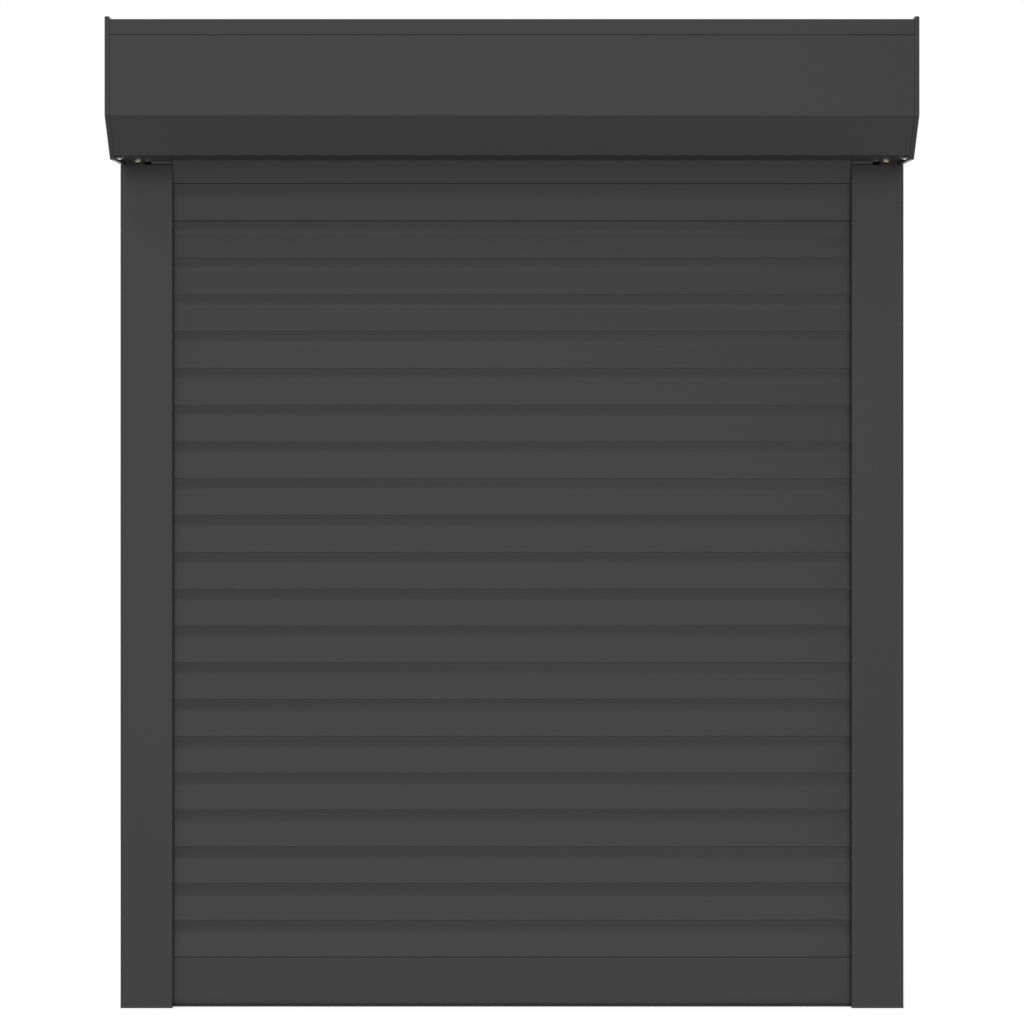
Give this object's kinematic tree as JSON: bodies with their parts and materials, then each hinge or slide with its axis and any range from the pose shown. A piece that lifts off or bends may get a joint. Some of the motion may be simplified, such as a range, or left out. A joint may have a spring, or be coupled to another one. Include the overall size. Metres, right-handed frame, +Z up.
{
  "type": "exterior roller shutter",
  "caption": "Exterior roller shutter: interlocking hollow slats on an octagonal shaft in a front-mounted box with a chamfered edge, running in two side guide rails.",
  "frame": {"origin": "centre of the four wall fixings of the guide rails, in the wall plane", "axes": "+X to the right seen from outside, -Y out of the wall towards the viewer, +Z up"},
  "size_m": [0.8, 0.137, 0.9933],
  "materials": {
    "grey_coated_aluminium": "satin",
    "dark_plastic": "matte",
    "black_rubber": "matte",
    "black_pile": "matte",
    "zinced_steel": "satin",
    "bare_aluminium": "satin",
    "plain_brass": "satin"
  },
  "bodies": {
    "frame": {"casing_rear_and_top": "grey_coated_aluminium", "front_cover": "grey_coated_aluminium", "mouth_brush": "black_pile", "casing_rivets": "bare_aluminium", "cover_screws": "plain_brass", "end_cap_left": "grey_coated_aluminium", "end_cap_right": "grey_coated_aluminium", "bearing_holder_left": "dark_plastic", "bearing_holder_right": "dark_plastic", "holder_screws": "zinced_steel", "ball_bearings": "zinced_steel", "strap_guide": "dark_plastic", "guide_rail_left": "grey_coated_aluminium", "guide_rail_right": "grey_coated_aluminium", "rail_cover_left": "grey_coated_aluminium", "rail_cover_right": "grey_coated_aluminium", "rail_piles": "black_pile", "rail_foot_plugs": "dark_plastic", "rail_inlets": "dark_plastic"},
    "shaft": {"shaft_tube": "zinced_steel", "shaft_plug": "dark_plastic", "strap_pulley": "dark_plastic", "hanger_strips": "zinced_steel"},
    "bottom_bar": {"bottom_bar": "grey_coated_aluminium", "bottom_seal": "black_rubber", "bottom_bar_caps": "dark_plastic"},
    "slat_01": {"slat_01": "grey_coated_aluminium"},
    "slat_02": {"slat_02": "grey_coated_aluminium", "slat_clips_02": "dark_plastic"},
    "slat_03": {"slat_03": "grey_coated_aluminium"},
    "slat_04": {"slat_04": "grey_coated_aluminium", "slat_clips_04": "dark_plastic"},
    "slat_05": {"slat_05": "grey_coated_aluminium"},
    "slat_06": {"slat_06": "grey_coated_aluminium", "slat_clips_06": "dark_plastic"},
    "slat_07": {"slat_07": "grey_coated_aluminium"},
    "slat_08": {"slat_08": "grey_coated_aluminium", "slat_clips_08": "dark_plastic"},
    "slat_09": {"slat_09": "grey_coated_aluminium"},
    "slat_10": {"slat_10": "grey_coated_aluminium", "slat_clips_10": "dark_plastic"},
    "slat_11": {"slat_11": "grey_coated_aluminium"},
    "slat_12": {"slat_12": "grey_coated_aluminium", "slat_clips_12": "dark_plastic"},
    "slat_13": {"slat_13": "grey_coated_aluminium"},
    "slat_14": {"slat_14": "grey_coated_aluminium", "slat_clips_14": "dark_plastic"},
    "slat_15": {"slat_15": "grey_coated_aluminium"},
    "slat_16": {"slat_16": "grey_coated_aluminium", "slat_clips_16": "dark_plastic"},
    "slat_17": {"slat_17": "grey_coated_aluminium"},
    "slat_18": {"slat_18": "grey_coated_aluminium", "slat_clips_18": "dark_plastic"},
    "slat_19": {"slat_19": "grey_coated_aluminium"},
    "slat_20": {"slat_20": "grey_coated_aluminium", "slat_clips_20": "dark_plastic"},
    "slat_21": {"slat_21": "grey_coated_aluminium"},
    "slat_22": {"slat_22": "grey_coated_aluminium", "slat_clips_22": "dark_plastic"},
    "strap_roller": {"strap_roller": "dark_plastic"}
  },
  "joints": [
    {"name": "shaft_turn", "type": "hinge", "parent": "frame", "child": "shaft", "pos_m": [0, -0.068, 0.4933], "axis": [1, 0, 0], "range_deg": [0, 261]},
    {"name": "bottom_bar_lift", "type": "slide", "parent": "frame", "child": "bottom_bar", "axis": [0, 0, 1], "range_m": [0, 0.03]},
    {"name": "slat_01_lift", "type": "slide", "parent": "frame", "child": "slat_01", "axis": [0, 0, 1], "range_m": [0, 0.0332]},
    {"name": "slat_02_lift", "type": "slide", "parent": "frame", "child": "slat_02", "axis": [0, 0, 1], "range_m": [0, 0.0364]},
    {"name": "slat_03_lift", "type": "slide", "parent": "frame", "child": "slat_03", "axis": [0, 0, 1], "range_m": [0, 0.0396]},
    {"name": "slat_04_lift", "type": "slide", "parent": "frame", "child": "slat_04", "axis": [0, 0, 1], "range_m": [0, 0.0428]},
    {"name": "slat_05_lift", "type": "slide", "parent": "frame", "child": "slat_05", "axis": [0, 0, 1], "range_m": [0, 0.046]},
    {"name": "slat_06_lift", "type": "slide", "parent": "frame", "child": "slat_06", "axis": [0, 0, 1], "range_m": [0, 0.0492]},
    {"name": "slat_07_lift", "type": "slide", "parent": "frame", "child": "slat_07", "axis": [0, 0, 1], "range_m": [0, 0.0524]},
    {"name": "slat_08_lift", "type": "slide", "parent": "frame", "child": "slat_08", "axis": [0, 0, 1], "range_m": [0, 0.0556]},
    {"name": "slat_09_lift", "type": "slide", "parent": "frame", "child": "slat_09", "axis": [0, 0, 1], "range_m": [0, 0.0588]},
    {"name": "slat_10_lift", "type": "slide", "parent": "frame", "child": "slat_10", "axis": [0, 0, 1], "range_m": [0, 0.062]},
    {"name": "slat_11_lift", "type": "slide", "parent": "frame", "child": "slat_11", "axis": [0, 0, 1], "range_m": [0, 0.0652]},
    {"name": "slat_12_lift", "type": "slide", "parent": "frame", "child": "slat_12", "axis": [0, 0, 1], "range_m": [0, 0.0684]},
    {"name": "slat_13_lift", "type": "slide", "parent": "frame", "child": "slat_13", "axis": [0, 0, 1], "range_m": [0, 0.0716]},
    {"name": "slat_14_lift", "type": "slide", "parent": "frame", "child": "slat_14", "axis": [0, 0, 1], "range_m": [0, 0.0748]},
    {"name": "slat_15_lift", "type": "slide", "parent": "frame", "child": "slat_15", "axis": [0, 0, 1], "range_m": [0, 0.078]},
    {"name": "slat_16_lift", "type": "slide", "parent": "frame", "child": "slat_16", "axis": [0, 0, 1], "range_m": [0, 0.0812]},
    {"name": "slat_17_lift", "type": "slide", "parent": "frame", "child": "slat_17", "axis": [0, 0, 1], "range_m": [0, 0.0844]},
    {"name": "slat_18_lift", "type": "slide", "parent": "frame", "child": "slat_18", "axis": [0, 0, 1], "range_m": [0, 0.0876]},
    {"name": "slat_19_lift", "type": "slide", "parent": "frame", "child": "slat_19", "axis": [0, 0, 1], "range_m": [0, 0.0908]},
    {"name": "slat_20_lift", "type": "slide", "parent": "frame", "child": "slat_20", "axis": [0, 0, 1], "range_m": [0, 0.094]},
    {"name": "slat_21_lift", "type": "slide", "parent": "frame", "child": "slat_21", "axis": [0, 0, 1], "range_m": [0, 0.0961]},
    {"name": "slat_22_lift", "type": "slide", "parent": "frame", "child": "slat_22", "axis": [0, 0, 1], "range_m": [0, 0.0981]},
    {"name": "strap_roller_spin", "type": "hinge", "parent": "frame", "child": "strap_roller", "pos_m": [0.377, -0.0051, 0.4716], "axis": [1, 0, 0], "continuous": true}
  ],
  "couplings": [
    {"joint": "bottom_bar_lift", "follows": "shaft_turn", "m_per_rad": 0.0065857},
    {"joint": "slat_01_lift", "follows": "shaft_turn", "m_per_rad": 0.0072882},
    {"joint": "slat_02_lift", "follows": "shaft_turn", "m_per_rad": 0.0079907},
    {"joint": "slat_03_lift", "follows": "shaft_turn", "m_per_rad": 0.0086932},
    {"joint": "slat_04_lift", "follows": "shaft_turn", "m_per_rad": 0.0093956},
    {"joint": "slat_05_lift", "follows": "shaft_turn", "m_per_rad": 0.010098},
    {"joint": "slat_06_lift", "follows": "shaft_turn", "m_per_rad": 0.010801},
    {"joint": "slat_07_lift", "follows": "shaft_turn", "m_per_rad": 0.011503},
    {"joint": "slat_08_lift", "follows": "shaft_turn", "m_per_rad": 0.012206},
    {"joint": "slat_09_lift", "follows": "shaft_turn", "m_per_rad": 0.012908},
    {"joint": "slat_10_lift", "follows": "shaft_turn", "m_per_rad": 0.01361},
    {"joint": "slat_11_lift", "follows": "shaft_turn", "m_per_rad": 0.014313},
    {"joint": "slat_12_lift", "follows": "shaft_turn", "m_per_rad": 0.015015},
    {"joint": "slat_13_lift", "follows": "shaft_turn", "m_per_rad": 0.015718},
    {"joint": "slat_14_lift", "follows": "shaft_turn", "m_per_rad": 0.01642},
    {"joint": "slat_15_lift", "follows": "shaft_turn", "m_per_rad": 0.017123},
    {"joint": "slat_16_lift", "follows": "shaft_turn", "m_per_rad": 0.017825},
    {"joint": "slat_17_lift", "follows": "shaft_turn", "m_per_rad": 0.018528},
    {"joint": "slat_18_lift", "follows": "shaft_turn", "m_per_rad": 0.01923},
    {"joint": "slat_19_lift", "follows": "shaft_turn", "m_per_rad": 0.019933},
    {"joint": "slat_20_lift", "follows": "shaft_turn", "m_per_rad": 0.020635},
    {"joint": "slat_21_lift", "follows": "shaft_turn", "m_per_rad": 0.021096},
    {"joint": "slat_22_lift", "follows": "shaft_turn", "m_per_rad": 0.021535}
  ]
}
